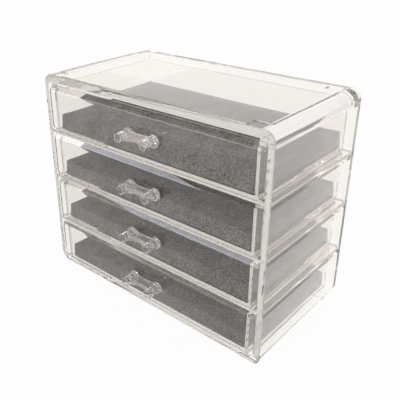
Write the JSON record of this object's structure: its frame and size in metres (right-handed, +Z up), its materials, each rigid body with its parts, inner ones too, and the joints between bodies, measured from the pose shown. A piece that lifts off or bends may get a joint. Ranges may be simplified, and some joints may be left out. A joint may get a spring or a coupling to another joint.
{
  "type": "clear drawer organizer",
  "caption": "Clear moulded tabletop organizer with sliding drawers, cupped double-lobe pulls, a raised stacking top and grey velvet pads.",
  "frame": {"origin": "centre of the overall box in plan, pulls included, on the plane that the feet stand on", "axes": "+X along the width, to the right seen from the front; -Y out of the drawer fronts; +Z up"},
  "size_m": [0.24, 0.1424, 0.1957],
  "materials": {
    "clear_plastic": "clear polished acrylic",
    "pull_plastic": "clear polished acrylic, thicker section",
    "velvet": "short-pile charcoal velvet",
    "foam": "soft foam"
  },
  "bodies": {
    "case": {"case_body": "clear_plastic", "shelf_1": "clear_plastic", "shelf_2": "clear_plastic", "shelf_3": "clear_plastic"},
    "drawer_1": {"drawer_tray_1": "clear_plastic", "pull_1": "pull_plastic", "pad_core_1": "foam", "pad_cover_1": "velvet"},
    "drawer_2": {"drawer_tray_2": "clear_plastic", "pull_2": "pull_plastic", "pad_core_2": "foam", "pad_cover_2": "velvet"},
    "drawer_3": {"drawer_tray_3": "clear_plastic", "pull_3": "pull_plastic", "pad_core_3": "foam", "pad_cover_3": "velvet"},
    "drawer_4": {"drawer_tray_4": "clear_plastic", "pull_4": "pull_plastic", "pad_core_4": "foam", "pad_cover_4": "velvet"}
  },
  "joints": [
    {"name": "drawer_1_slide", "type": "slide", "parent": "case", "child": "drawer_1", "axis": [0, -1, 0], "range_m": [0, 0.1]},
    {"name": "drawer_2_slide", "type": "slide", "parent": "case", "child": "drawer_2", "axis": [0, -1, 0], "range_m": [0, 0.1]},
    {"name": "drawer_3_slide", "type": "slide", "parent": "case", "child": "drawer_3", "axis": [0, -1, 0], "range_m": [0, 0.1]},
    {"name": "drawer_4_slide", "type": "slide", "parent": "case", "child": "drawer_4", "axis": [0, -1, 0], "range_m": [0, 0.1]}
  ]
}
